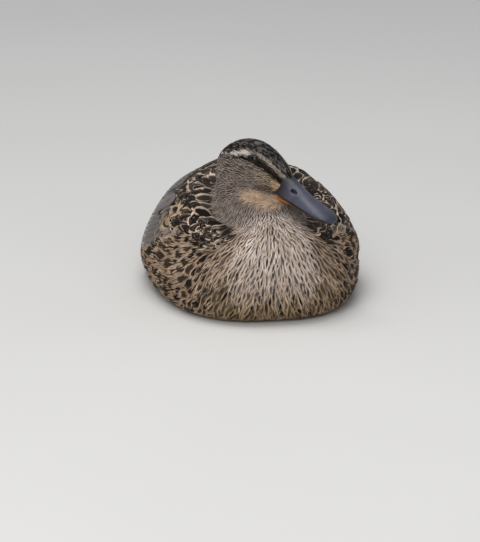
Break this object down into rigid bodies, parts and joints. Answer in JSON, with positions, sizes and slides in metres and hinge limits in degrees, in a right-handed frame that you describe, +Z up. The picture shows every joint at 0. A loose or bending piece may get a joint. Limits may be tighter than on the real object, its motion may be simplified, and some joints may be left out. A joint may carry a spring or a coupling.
{
  "type": "resting female mallard duck",
  "caption": "Female mallard resting on her belly, neck drawn in and head turned to her left, wings let down at her sides: a still, life-size model.",
  "frame": {"origin": "middle of the flat under the belly that rests on the floor, between the feet", "axes": "+Z up; the bird faces -Y with its tail towards +Y; +X is the bird's left side"},
  "size_m": [0.179, 0.3463, 0.1365],
  "materials": {
    "body_plumage": "streaked feathers",
    "head_plumage": "fine short feathers",
    "wing_coverts": "edged feathers",
    "flight_feathers": "smooth long vanes",
    "tail_feathers": "barred vanes",
    "bill": "satin horn",
    "bill_lower": "satin horn",
    "eye": "wet and glossy",
    "foot_skin": "scaled skin"
  },
  "bodies": {
    "root": {"trunk": "body_plumage", "neck": "body_plumage", "head": "head_plumage", "eye_left": "eye", "eye_right": "eye", "bill_upper": "bill", "bill_nail": "bill", "bill_lower": "bill_lower", "wing_left": "wing_coverts", "wing_right": "wing_coverts", "flight_feathers_left": "flight_feathers", "flight_feathers_right": "flight_feathers", "tail": "tail_feathers", "foot_left": "foot_skin", "foot_right": "foot_skin", "leg_left": "foot_skin", "leg_right": "foot_skin"}
  },
  "joints": []
}
